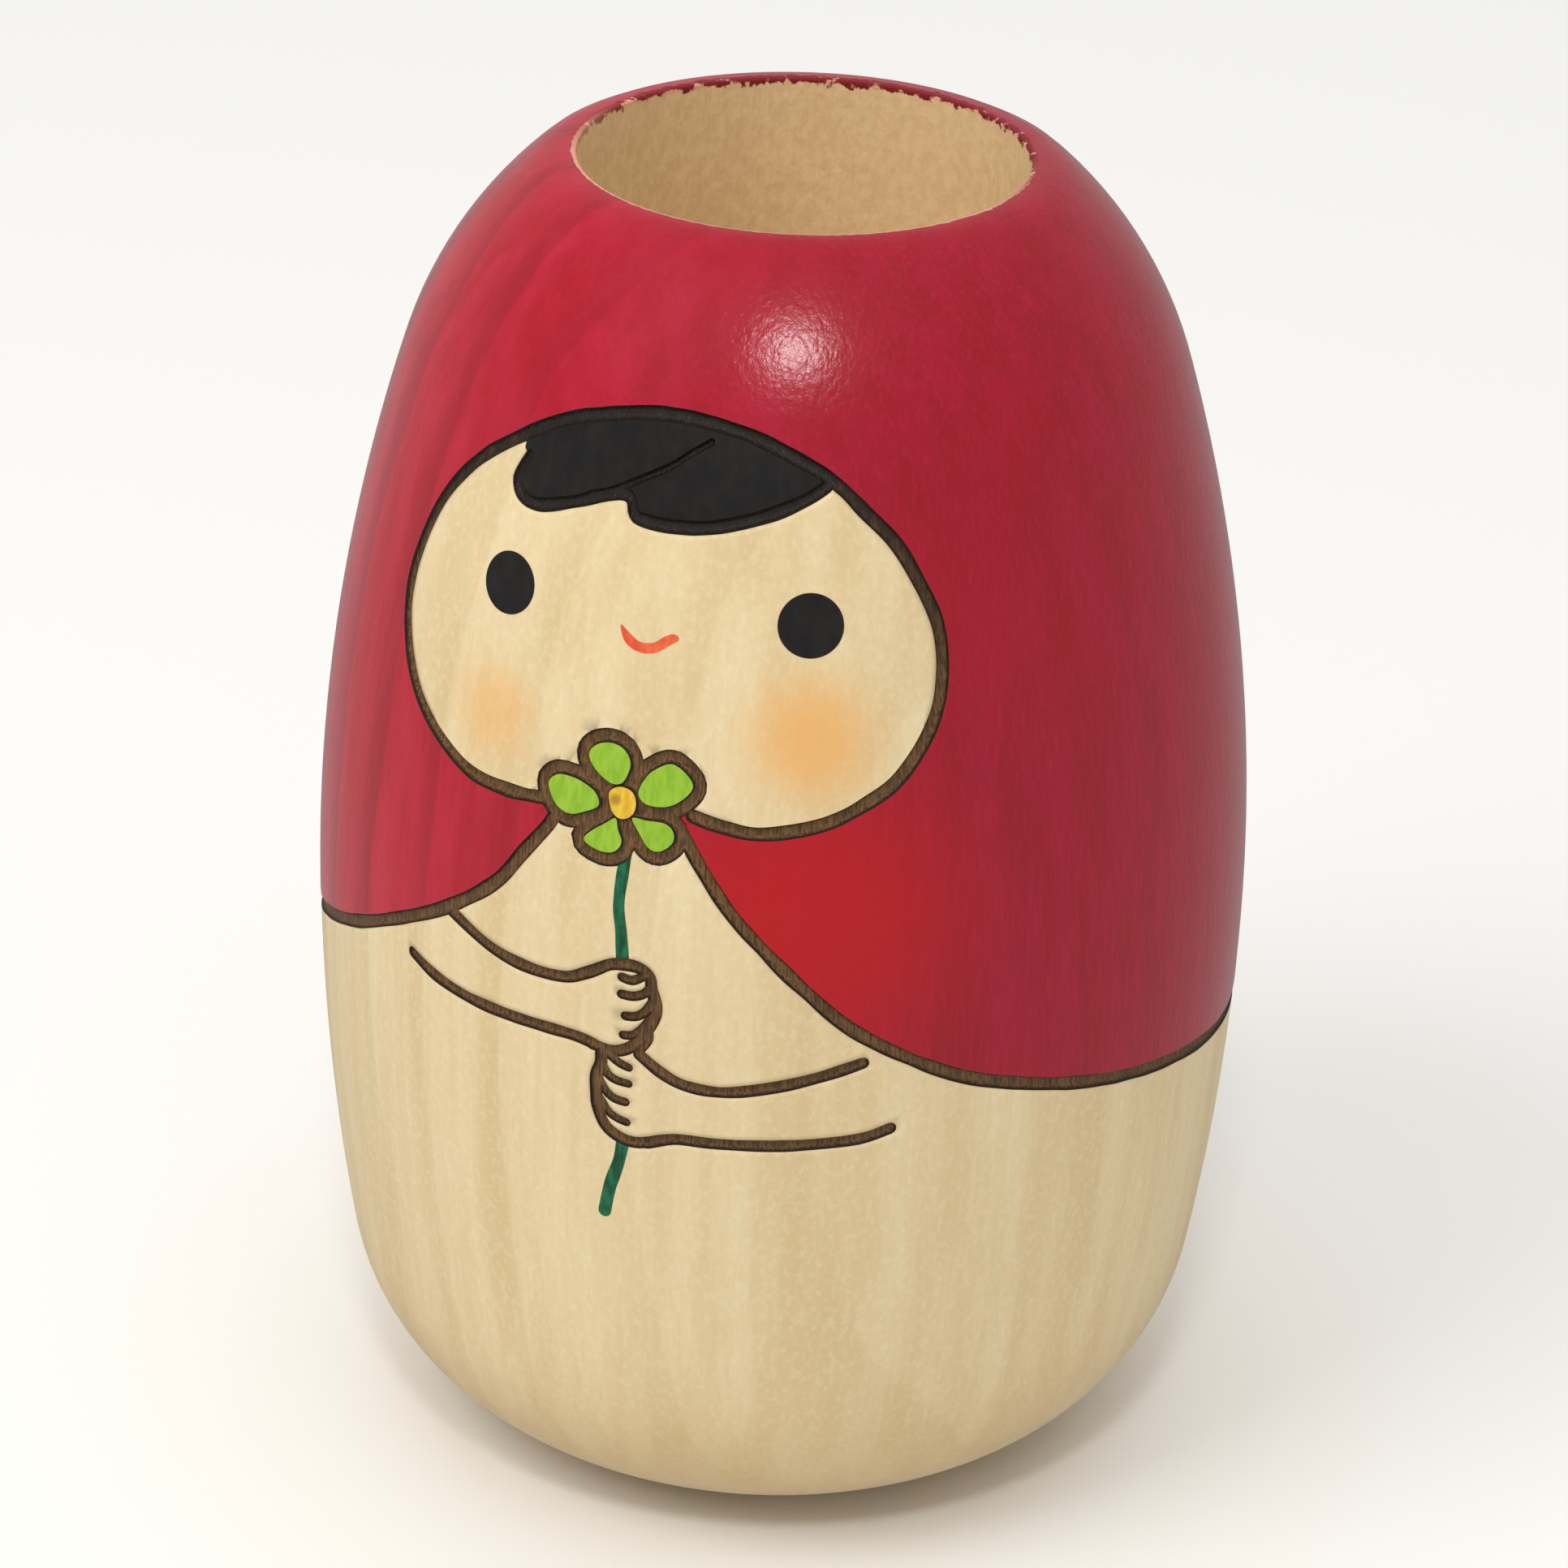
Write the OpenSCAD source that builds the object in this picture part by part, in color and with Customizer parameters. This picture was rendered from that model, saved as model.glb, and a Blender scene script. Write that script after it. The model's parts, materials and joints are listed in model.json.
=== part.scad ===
// Kokeshi pen stand: one turned block of pale wood with a straight open well in its crown,
// lines burnt into its front and coats of dye and paint laid over it.
// Millimetres, +Z up. The origin is the middle of the base, and the doll faces -Y.

/* [Turned body] */
// Largest diameter
body_d = 64; // [60:0.5:70]
// Height from the base to the crest
body_h = 92; // [90:0.5:94]
// Height of the widest section
waist_z = 39.5; // [38:0.5:41]
// Radius of the side curve below the waist
lower_side_r = 170; // [150:5:200]
// Radius of the side curve above the waist
upper_side_r = 130; // [125:1:135]
// How far up the upper side curve the shoulder begins, in degrees
shoulder_from = 17.4; // [16.5:0.1:18]
// Radius of the shoulder
shoulder_r = 28; // [27:0.25:28.5]
// Radius of the rounded foot
foot_r = 16; // [12:0.5:18]
// Radius of the crest around the mouth of the well
crest_r = 3.75; // [3:0.25:4]

/* [Well] */
// Diameter of the well
well_d = 29.6; // [27:0.2:30]
// Depth of the well below the crest
well_depth = 78; // [60:1:82]
// Broken edge at the mouth of the well
well_arris = 0.25; // [0.1:0.05:0.4]
// Diameter of the drill's centre mark in the floor of the well
centre_mark_d = 4; // [2:0.5:6]

/* [Burnt lines] */
// Width of the heavy lines round the face, the flower and the hem
heavy_line = 0.95; // [0.8:0.05:1]
// Width of the lines of the arms and hands
light_line = 0.85; // [0.7:0.05:0.9]
// Width of the short lines between the fingers
finger_line = 0.65; // [0.5:0.05:0.8]
// Depth of the lines below the turned surface
line_depth = 0.35; // [0.25:0.05:0.5]
// Thickness of the charred layer on the floor of a line
char_t = 0.15; // [0.1:0.05:0.2]

/* [Coats] */
// Thickness of the red coat of the hood
hood_t = 0.1; // [0.08:0.02:0.2]
// Thickness of the painted details
paint_t = 0.08; // [0.06:0.02:0.15]
// Width of the flower's stem
stem_w = 0.85; // [0.7:0.05:1]
// Diameter of the eyes
eye_d = 4.1; // [3.5:0.1:4.5]

/* [Hidden] */
$fn = 180;

wood_colour = "#E6D4AA";
red_colour = "#C81E30";
black_colour = "#28231F";
char_colour = "#64462A";
petal_colour = "#8CBE28";
centre_colour = "#E6BE28";
stem_colour = "#005F3C";
cheek_colour = "#F0BE82";
mouth_colour = "#EB5A32";

body_r = body_d / 2;
well_r = well_d / 2;
clear = 1;            // how far a cutter stands outside the surface it cuts
overlap = 0.01;       // how far two cutters of the well run into each other
reach = 40;           // further out than any part of the body
hem_sides = 6;        // flat views that the hem is drawn in

// Heights between which each part of the drawing lies
face_band = [52, 86];
flower_band = [50, 66];
hair_band = [70, 86];
eye_band = [62, 80];
cheek_band = [52, 76];
hand_upper_band = [38, 52];
hand_lower_band = [32, 45];
arm_left_upper_band = [40, 52];
arm_left_lower_band = [38, 48];
arm_right_upper_band = [34, 46];
arm_right_lower_band = [30, 41];
stem_upper_band = [42, 62];
stem_lower_band = [24, 40];
hood_low = 28;

// ---- Outline of the body, from the base outwards and up to the mouth of the well ----

function arc(cx, cz, r, from, to, steps) =
    [for (i = [0:steps]) let (a = from + (to - from) * i / steps) [cx + r * cos(a), cz + r * sin(a)]];

foot_a = asin((waist_z - foot_r) / (lower_side_r - foot_r));
foot_x = body_r - lower_side_r + (lower_side_r - foot_r) * cos(foot_a);
shoulder_x = body_r - upper_side_r + (upper_side_r - shoulder_r) * cos(shoulder_from);
shoulder_z = waist_z + (upper_side_r - shoulder_r) * sin(shoulder_from);
crest_a = asin((body_h - crest_r - shoulder_z) / (shoulder_r - crest_r));
crest_x = shoulder_x + (shoulder_r - crest_r) * cos(crest_a);

// The outline moved outwards by t, or inwards where t is negative
function outline(t) = concat(
    arc(foot_x, foot_r, foot_r + t, -90, -foot_a, 10),
    arc(body_r - lower_side_r, waist_z, lower_side_r + t, -foot_a * 5 / 6, 0, 5),
    arc(body_r - upper_side_r, waist_z, upper_side_r + t, shoulder_from / 8, shoulder_from, 7),
    arc(shoulder_x, shoulder_z, shoulder_r + t, shoulder_from + (crest_a - shoulder_from) / 8, crest_a, 7),
    arc(crest_x, body_h - crest_r, crest_r + t, crest_a + (90 - crest_a) / 4, 90, 3)
);

surface = outline(0);
function radius_at(z) = lookup(z, [for (p = surface) [p[1], p[0]]]);
function reversed(p) = [for (i = [len(p) - 1:-1:0]) p[i]];

// The layer between two offsets of the surface, over a band of heights
module layer(inner, outer, band) {
    kept = [for (i = [0:len(surface) - 1]) if (surface[i][1] >= band[0] && surface[i][1] <= band[1]) i];
    out = outline(outer);
    in = outline(inner);
    rotate_extrude() polygon(concat([for (i = kept) out[i]], reversed([for (i = kept) in[i]])));
}

// A flat shape in the front view, x and height, carried to the front of the body
module front_prism() {
    rotate([90, 0, 0]) linear_extrude(reach) children();
}

module on_front(inner, outer, band) {
    intersection() {
        layer(inner, outer, band);
        front_prism() children();
    }
}

// ---- Smooth outlines through a few points ----

function between(a, b, c, d, t) =
    0.5 * (2 * b + (c - a) * t + (2 * a - 5 * b + 4 * c - d) * t * t + (3 * b - a - 3 * c + d) * t * t * t);

function smooth_loop(p, k) = let (n = len(p))
    [for (i = [0:n - 1], j = [0:k - 1])
        between(p[(i + n - 1) % n], p[i], p[(i + 1) % n], p[(i + 2) % n], j / k)];

function smooth_line(p, k) = let (n = len(p)) concat(
    [for (i = [0:n - 2], j = [0:k - 1])
        between(p[max(i - 1, 0)], p[i], p[i + 1], p[min(i + 2, n - 1)], j / k)],
    [p[n - 1]]
);

function left_of(a, b) = let (d = b - a) [-d[1], d[0]] / norm(d);

function side_of_loop(p, d) = let (n = len(p))
    [for (i = [0:n - 1]) p[i] + d * left_of(p[(i + n - 1) % n], p[(i + 1) % n])];

function side_of_line(p, d) = let (n = len(p))
    [for (i = [0:n - 1]) p[i] + d * left_of(p[max(i - 1, 0)], p[min(i + 1, n - 1)])];

// A round end: points from one side of the line to the other, about its last point
function round_end(a, b, r) = let (n = left_of(a, b), f = [n[1], -n[0]])
    [for (t = [-60:30:60]) b + r * (f * cos(t) - n * sin(t))];

module stroke(p, w) {
    n = len(p);
    polygon(concat(
        side_of_line(p, w / 2), round_end(p[n - 2], p[n - 1], w / 2),
        reversed(side_of_line(p, -w / 2)), round_end(p[1], p[0], w / 2)
    ));
}

// ---- The drawing: centre lines and edges in the front view, [x, height] ----

face = smooth_loop([
    [0, 82.9], [4.5, 82.2], [8.5, 80.7], [12, 77.9], [15.1, 74], [16.8, 70.9], [17.4, 67.5], [17.1, 64.5],
    [15.7, 61.5], [11.5, 58.6], [8, 57.9], [4.5, 58.4], [0, 59], [-4, 58.2], [-8, 57.8], [-12.5, 58],
    [-15.7, 59.8], [-17.6, 62], [-18.6, 65], [-18.6, 68], [-18, 71], [-16, 74], [-12, 78.5], [-8, 81.1],
    [-4, 82.4]
], 3);

hair = [
    [-10.1, 78.6], [-10.6, 77.9], [-10.9, 77], [-10.6, 76.1], [-9.9, 75.6], [-9, 75.5], [-8, 75.7],
    [-6, 76.4], [-4, 77.2], [-2.7, 77.5], [-2.4, 76.8], [-1.9, 76.3], [-0.5, 76.1], [1, 76.1], [3, 76.3],
    [5, 76.8], [7, 77.5], [8.8, 78.4], [9.9, 79.3]
];
hair_top = [[12, 84], [0, 88], [-12, 84]];
hair_parting = smooth_line([[-4.6, 77.5], [-3, 78.2], [-1, 79.5], [0.4, 80.4], [1.7, 81.4]], 3);

left_eye = [-10.3, 70.7];
right_eye = [9.7, 71.2];
left_cheek = [-10.3, 62.6];
right_cheek = [10.6, 64.4];
left_cheek_r = 3;
right_cheek_r = 3.9;

smile = smooth_loop([
    [-2, 69.9], [-1.3, 69.4], [-0.6, 69.2], [0.2, 69.3], [0.9, 69.9], [1.5, 70.1], [1.8, 69.9],
    [1.2, 69.4], [0.5, 68.9], [-0.3, 68.7], [-1.1, 68.9], [-1.7, 69.3]
], 2);

petals = [
    [[-3.5, 61.6], [-3, 62.3], [-2, 62.6], [-1.1, 62.3], [-0.65, 61.5], [-0.9, 60.5], [-1.3, 60.05],
        [-2, 60.05], [-3, 60.7]],
    [[0, 59.7], [0.5, 60.9], [1.3, 61.6], [2.1, 61.9], [3, 61.4], [3.5, 60.6], [2.9, 59.7], [1.9, 59.1],
        [0.6, 59.05]],
    [[-6.2, 59], [-5.7, 59.7], [-4.9, 59.85], [-3.9, 59.7], [-2.9, 59.2], [-2.6, 58.4], [-3.5, 57.8],
        [-4.6, 57.4], [-5.6, 57.8]],
    [[-1.4, 57.8], [-1.2, 57.1], [-0.9, 56.3], [-1.3, 55.6], [-2.1, 55.4], [-3, 55.6], [-3.5, 56],
        [-2.9, 56.7], [-2.1, 57.3]],
    [[-0.3, 58], [0.6, 58], [1.8, 58], [2.4, 57.6], [2.5, 56.9], [2, 56.3], [1.4, 56.05], [0.8, 56.3],
        [0.3, 57]]
];
flower_eye = smooth_loop([
    [-1.9, 59.5], [-1.2, 59.9], [-0.4, 59.7], [-0.1, 59], [-0.3, 58.2], [-1, 57.8], [-1.6, 58.1], [-1.9, 58.8]
], 3);

stem_top = smooth_line([[-0.5, 55.6], [-0.7, 54.2], [-0.85, 52], [-0.6, 50.2], [-0.4, 48.2]], 3);
stem_foot = smooth_line([[-0.1, 35], [-0.4, 33.5], [-1, 31.5], [-1.4, 29.4]], 3);

arm_left_upper = smooth_line([
    [-13.4, 48], [-10, 46.6], [-7, 46.1], [-4.4, 46.2], [-3, 46.8], [-1.8, 47.5]
], 4);
arm_left_lower = smooth_line([
    [-16.6, 43.4], [-14.6, 42.7], [-11.9, 42.3], [-9, 42.2], [-4, 42.2], [-2.2, 41.9]
], 4);
arm_right_upper = smooth_line([
    [0.9, 41.8], [2.4, 40.7], [4, 40], [6.5, 39.8], [9.7, 40.4], [12.4, 41.2], [14.8, 42.1]
], 4);
arm_right_lower = smooth_line([
    [1.5, 35.3], [3.4, 35.9], [6, 35.9], [9.7, 36], [12.4, 36.2], [14.9, 36.5], [16.5, 37.1]
], 4);

hand_upper = [
    [[-2, 47.4], [-1, 47.9], [0.5, 48], [1.4, 47.5], [1.6, 46.6], [1.9, 45.5], [1.8, 44.5], [1.2, 43.3],
        [0.3, 42.2], [-0.9, 41.7], [-2.4, 41.9]],
    [[1.5, 43.8], [1.5, 43], [1, 42.2]],
    [[-0.4, 47.1], [0.3, 47], [1, 47.4]],
    [[-0.4, 45.9], [0.4, 45.9], [1.1, 46.2], [1.6, 46.8]],
    [[-0.1, 44.4], [0.6, 44.5], [1.2, 44.9], [1.7, 45.7]],
    [[-0.2, 43], [0.4, 43.1], [1, 43.6], [1.6, 44.5]]
];
hand_lower = [
    [[-1.7, 41.4], [-1.7, 40.6], [-2, 39.6], [-2, 38.4], [-1.9, 37.3], [-1.3, 36], [-0.2, 35.3], [0.8, 35.2],
        [1.7, 35.4]],
    [[0.2, 40.7], [-0.4, 40.9], [-1.2, 41.4]],
    [[0.2, 39.5], [-0.6, 39.6], [-1.2, 39.9], [-1.6, 40.6]],
    [[0, 38.1], [-0.7, 38.2], [-1.3, 38.6], [-1.8, 39.4]],
    [[0.1, 36.6], [-0.6, 36.8], [-1.2, 37.2], [-1.7, 38]]
];

// ---- The hem, [degrees round from the front, height], rising to the flower ----

hem_points = [
    [-180, 32], [-135, 32.4], [-105, 33.6], [-85, 35.3], [-70, 37.2], [-60, 39], [-45, 42.2], [-31, 46.2],
    [-24, 48.6], [-18, 51.3], [-14.5, 53.9], [-11, 56.6], [-3, 58.4], [5.5, 57.6], [8, 55.6], [11.5, 52.7],
    [15.5, 50.2], [20.5, 47.4], [27, 44.2], [38, 40.7], [47, 38.9], [60, 36.9], [75, 35.2], [90, 33.8],
    [110, 32.7], [140, 32.1], [180, 32]
];
degree_mm = body_r * PI / 180;   // one degree round the waist
hem_curve = smooth_line([for (p = hem_points) [p[0] * degree_mm, p[1]]], 4);

// One edge of the hem line, d above its centre, from the back seam once round the body
function hem_edge(d) = let (e = side_of_line(hem_curve, d), n = len(e))
    [for (i = [0:n - 2]) [i == 0 ? -180 : e[i][0] / degree_mm, e[i][1]]];

function round_body(p, r) = [r * sin(p[0]), -r * cos(p[0]), p[1]];

// A closed ring round the body whose four corners at each station come from four lists
module ring(corners) {
    n = len(corners[0]);
    polyhedron(
        points = [for (i = [0:n - 1], k = [0:3]) corners[k][i]],
        faces = [for (i = [0:n - 1], k = [0:3], half = [0, 1])
            let (j = (i + 1) % n, m = (k + 1) % 4)
            half == 0 ? [4 * i + k, 4 * i + m, 4 * j + m] : [4 * i + k, 4 * j + m, 4 * j + k]]
    );
}

module hem_band(inner, outer) {
    low = hem_edge(-heavy_line / 2);
    high = hem_edge(heavy_line / 2);
    difference() {
        ring([
            [for (p = low) round_body(p, radius_at(p[1]) + inner)],
            [for (p = high) round_body(p, radius_at(p[1]) + inner)],
            [for (p = high) round_body(p, radius_at(p[1]) + outer)],
            [for (p = low) round_body(p, radius_at(p[1]) + outer)]
        ]);
        front_prism() face_opening();
        front_prism() flower_area();
    }
}

// All that lies below the hem line's upper edge, in the flat view from one side
module below_hem_shape(side) {
    edge = hem_edge(heavy_line / 2);
    twice = concat(edge, [for (p = edge) [p[0] + 360, p[1]]]);
    seen = [for (p = twice) if (abs(p[0] - side) < 180 / hem_sides + 2)
        [radius_at(p[1]) * sin(p[0] - side), p[1]]];
    polygon(concat([[seen[0][0], 0]], seen, [[seen[len(seen) - 1][0], 0]]));
}

// ---- Flat shapes ----

module face_opening() { polygon(side_of_loop(face, heavy_line / 2)); }
module face_skin() { polygon(side_of_loop(face, -heavy_line / 2)); }
module petal_shape(i, grow) { polygon(side_of_loop(smooth_loop(petals[i], 3), grow)); }
module flower_eye_shape() { polygon(flower_eye); }
module flower_area() { for (i = [0:4]) petal_shape(i, heavy_line); flower_eye_shape(); }
module hair_shape() { polygon(concat(smooth_line(hair, 2), hair_top)); }
module hand_strokes(hand) {
    for (i = [0:len(hand) - 1]) stroke(smooth_line(hand[i], 3), i == 0 ? light_line : finger_line);
}
module hand_upper_shape() { hand_strokes(hand_upper); }
module hand_lower_shape() {
    difference() {
        hand_strokes(hand_lower);
        hand_upper_shape();
    }
}
module face_line_shape() {
    difference() { face_opening(); face_skin(); flower_area(); }
}
module flower_line_shape() {
    difference() {
        flower_area();
        for (i = [0:4]) petal_shape(i, 0);
        flower_eye_shape();
    }
}
module hair_line_shape() {
    intersection() {
        union() {
            stroke(smooth_line(hair, 2), heavy_line);
            stroke(hair_parting, light_line / 2);
        }
        hair_shape();
        face_skin();
    }
}
module arm_shape(p) {
    difference() { stroke(p, light_line); hand_upper_shape(); hand_lower_shape(); }
}

// ---- Sub-parts ----

module groove(band) { on_front(-line_depth, clear, band) children(); }
module lining(band) { color(char_colour) on_front(-line_depth, char_t - line_depth, band) children(); }
module paint(c, band) { color(c) on_front(0, paint_t, band) children(); }

module blank() {
    rotate_extrude() polygon(concat([[0, 0]], surface, [[0, body_h]]));
}

module well() {
    floor_z = body_h - well_depth;
    translate([0, 0, floor_z]) cylinder(r = well_r, h = well_depth + clear);
    translate([0, 0, body_h - well_arris])
        cylinder(r1 = well_r, r2 = well_r + well_arris + clear, h = well_arris + clear);
    translate([0, 0, floor_z - centre_mark_d / 4])
        cylinder(r1 = 0, r2 = centre_mark_d / 2, h = centre_mark_d / 4 + overlap);
}

module turned_body() {
    color(wood_colour) difference() {
        blank();
        well();
        groove(face_band) face_line_shape();
        groove(flower_band) flower_line_shape();
        groove(hair_band) hair_line_shape();
        groove(hand_upper_band) hand_upper_shape();
        groove(hand_lower_band) hand_lower_shape();
        groove(arm_left_upper_band) arm_shape(arm_left_upper);
        groove(arm_left_lower_band) arm_shape(arm_left_lower);
        groove(arm_right_upper_band) arm_shape(arm_right_upper);
        groove(arm_right_lower_band) arm_shape(arm_right_lower);
        hem_band(-line_depth, clear);
    }
}

module hem_cut(side) { rotate([0, 0, side]) front_prism() below_hem_shape(side); }

module hood_coat() {
    color(red_colour) difference() {
        layer(0, hood_t, [hood_low, body_h - hood_t]);
        hem_cut(60);
        hem_cut(120);
        hem_cut(180);
        hem_cut(240);
        hem_cut(300);
        front_prism() { below_hem_shape(0); face_opening(); flower_area(); }
    }
}

module hair_coat() {
    paint(black_colour, hair_band) difference() {
        intersection() { hair_shape(); face_skin(); }
        hair_line_shape();
    }
}

module eye(c) { paint(black_colour, eye_band) translate(c) circle(d = eye_d); }
module cheek(c, r) { paint(cheek_colour, cheek_band) translate(c) circle(r = r); }
module eye_left() { eye(left_eye); }
module eye_right() { eye(right_eye); }
module cheek_left() { cheek(left_cheek, left_cheek_r); }
module cheek_right() { cheek(right_cheek, right_cheek_r); }
module mouth() { paint(mouth_colour, cheek_band) polygon(smile); }
module petal(i) { paint(petal_colour, flower_band) petal_shape(i, 0); }
module flower_centre() { paint(centre_colour, flower_band) flower_eye_shape(); }
module stem_upper() {
    paint(stem_colour, stem_upper_band) difference() {
        stroke(stem_top, stem_w);
        flower_area();
        hand_upper_shape();
    }
}
module stem_lower() {
    paint(stem_colour, stem_lower_band) difference() { stroke(stem_foot, stem_w); hand_lower_shape(); }
}

module face_line() { lining(face_band) face_line_shape(); }
module flower_line() { lining(flower_band) flower_line_shape(); }
module hair_line() { lining(hair_band) hair_line_shape(); }
module hand_line_upper() { lining(hand_upper_band) hand_upper_shape(); }
module hand_line_lower() { lining(hand_lower_band) hand_lower_shape(); }
module hem_line() { color(char_colour) hem_band(-line_depth, char_t - line_depth); }

turned_body();
hood_coat();
hair_coat();
eye_left();
eye_right();
mouth();
cheek_left();
cheek_right();
for (i = [0:4]) petal(i);
flower_centre();
stem_upper();
stem_lower();
face_line();
flower_line();
hem_line();
hair_line();
hand_line_upper();
hand_line_lower();
lining(arm_left_upper_band) arm_shape(arm_left_upper);  // arm_line_left_upper
lining(arm_left_lower_band) arm_shape(arm_left_lower);  // arm_line_left_lower
lining(arm_right_upper_band) arm_shape(arm_right_upper);  // arm_line_right_upper
lining(arm_right_lower_band) arm_shape(arm_right_lower);  // arm_line_right_lower
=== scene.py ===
# Kokeshi pen stand, turned from one block and drawn on with a hot tip, dye and paint.
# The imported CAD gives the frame. All sizes below are in millimetres unless a note says otherwise.
import bpy
import json
import math
import numpy as np
from mathutils import Matrix, Vector, kdtree, noise
from mathutils.geometry import delaunay_2d_cdt


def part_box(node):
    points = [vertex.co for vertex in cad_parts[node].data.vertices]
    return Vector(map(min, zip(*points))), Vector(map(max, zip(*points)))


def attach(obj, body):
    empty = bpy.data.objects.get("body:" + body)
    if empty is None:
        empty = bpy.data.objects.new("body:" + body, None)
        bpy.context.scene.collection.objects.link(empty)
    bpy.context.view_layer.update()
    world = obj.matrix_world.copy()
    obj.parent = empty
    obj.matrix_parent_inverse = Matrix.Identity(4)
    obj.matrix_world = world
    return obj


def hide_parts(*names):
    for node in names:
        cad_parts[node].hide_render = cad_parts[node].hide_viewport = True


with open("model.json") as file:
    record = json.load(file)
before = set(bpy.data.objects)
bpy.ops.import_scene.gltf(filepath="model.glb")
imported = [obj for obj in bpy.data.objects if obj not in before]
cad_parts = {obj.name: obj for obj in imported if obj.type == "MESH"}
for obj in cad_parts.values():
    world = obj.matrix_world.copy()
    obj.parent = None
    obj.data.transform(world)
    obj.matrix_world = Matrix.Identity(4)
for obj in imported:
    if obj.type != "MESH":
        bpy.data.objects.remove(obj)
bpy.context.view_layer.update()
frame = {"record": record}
mm = 0.001

lowCorner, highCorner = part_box("turned_body")
bodyR = round((highCorner.x - lowCorner.x) / 2 / mm, 1)
bodyH = round(highCorner.z / mm, 1)
wellMount = next(m for m in frame["record"]["mounts"] if m["name"] == "pen_well")
wellR = wellMount["dims"]["r_mm"]
halfTurn = math.pi * bodyR    # distance round the waist from the front to the back seam

turning = {
    "waistZ": 39.5,
    "lowerSideR": 170.0,
    "upperSideR": 130.0,
    "shoulderFrom": 17.4,    # degrees up the upper side curve
    "shoulderR": 28.0,
    "footR": 16.0,
    "crestR": 3.75,
    "arris": 0.25,            # broken edge at the mouth of the well
    "samples": 400,           # points along each curve of the profile
}


def turnProfile():
    t = turning
    footA = math.asin((t["waistZ"] - t["footR"]) / (t["lowerSideR"] - t["footR"]))
    footX = bodyR - t["lowerSideR"] + (t["lowerSideR"] - t["footR"]) * math.cos(footA)
    shoulderA = math.radians(t["shoulderFrom"])
    inner = t["upperSideR"] - t["shoulderR"]
    shoulderX = bodyR - t["upperSideR"] + inner * math.cos(shoulderA)
    shoulderZ = t["waistZ"] + inner * math.sin(shoulderA)
    crestA = math.asin((bodyH - t["crestR"] - shoulderZ) / (t["shoulderR"] - t["crestR"]))
    crestX = shoulderX + (t["shoulderR"] - t["crestR"]) * math.cos(crestA)
    curves = [
        (footX, t["footR"], t["footR"], -math.pi / 2, -footA),
        (bodyR - t["lowerSideR"], t["waistZ"], t["lowerSideR"], -footA, 0.0),
        (bodyR - t["upperSideR"], t["waistZ"], t["upperSideR"], 0.0, shoulderA),
        (shoulderX, shoulderZ, t["shoulderR"], shoulderA, crestA),
        (crestX, bodyH - t["crestR"], t["crestR"], crestA, math.pi / 2),
    ]
    r, z, a = [], [], []
    for cx, cz, radius, start, end in curves:
        angles = np.linspace(start, end, t["samples"])
        r.append(cx + radius * np.cos(angles))
        z.append(cz + radius * np.sin(angles))
        a.append(angles)
    landX = np.linspace(crestX, wellR + t["arris"], 20)[1:]
    r.append(landX)
    z.append(np.full(landX.size, bodyH))
    a.append(np.full(landX.size, math.pi / 2))
    r, z, a = np.concatenate(r), np.concatenate(z), np.concatenate(a)
    v = np.concatenate([[0.0], np.cumsum(np.hypot(np.diff(r), np.diff(z)))])
    return {"v": v, "r": r, "z": z, "a": a}


profile = turnProfile()
profileEnd = profile["v"][-1]


def radiusAt(v):
    return np.interp(v, profile["v"], profile["r"])


def alongAt(z):
    return np.interp(z, profile["z"], profile["v"])    # height to distance along the profile


def fromFront(points):
    # front view, x and height, to distance round the waist and distance up the profile
    p = np.asarray(points, float)
    v = alongAt(p[:, 1])
    return np.column_stack([np.arcsin(p[:, 0] / radiusAt(v)) * bodyR, v])


def fromTurn(points):
    # degrees round from the front, and height
    p = np.asarray(points, float)
    return np.column_stack([np.radians(p[:, 0]) * bodyR, alongAt(p[:, 1])])


def surfaceFrame(uv):
    turn = uv[:, 0] / bodyR
    lean = np.interp(uv[:, 1], profile["v"], profile["a"])
    outward = np.column_stack([np.cos(lean) * np.sin(turn), -np.cos(lean) * np.cos(turn), np.sin(lean)])
    sideways = np.column_stack([np.cos(turn), np.sin(turn), np.zeros(turn.size)])
    return outward, sideways, np.cross(outward, sideways)


def onSurface(uv, lift):
    r = radiusAt(uv[:, 1])
    z = np.interp(uv[:, 1], profile["v"], profile["z"])
    turn = uv[:, 0] / bodyR
    base = np.column_stack([r * np.sin(turn), -r * np.cos(turn), z])
    return (base + surfaceFrame(uv)[0] * np.reshape(lift, (-1, 1))) * mm


def smooth(points, closed=False, perSpan=12):
    p = np.asarray(points, float)
    n = len(p)
    spans = n if closed else n - 1
    out = []
    for i in range(spans):
        if closed:
            a, b, c, d = p[i - 1], p[i], p[(i + 1) % n], p[(i + 2) % n]
        else:
            a, b, c, d = p[max(i - 1, 0)], p[i], p[i + 1], p[min(i + 2, n - 1)]
        t = np.linspace(0, 1, perSpan, endpoint=False)[:, None]
        out.append(0.5 * (2 * b + (c - a) * t + (2 * a - 5 * b + 4 * c - d) * t**2
                          + (3 * b - a - 3 * c + d) * t**3))
    line = np.concatenate(out)
    return line if closed else np.vstack([line, p[-1]])


def evenly(line, step, closed=False):
    # the same curve with points an even step apart
    if closed:
        line = np.vstack([line, line[0]])
    s = np.concatenate([[0], np.cumsum(np.hypot(*np.diff(line, axis=0).T))])
    count = max(int(round(s[-1] / step)), 3)
    at = np.linspace(0, s[-1], count + 1)
    out = np.column_stack([np.interp(at, s, line[:, 0]), np.interp(at, s, line[:, 1])])
    return out[:-1] if closed else out


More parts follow.
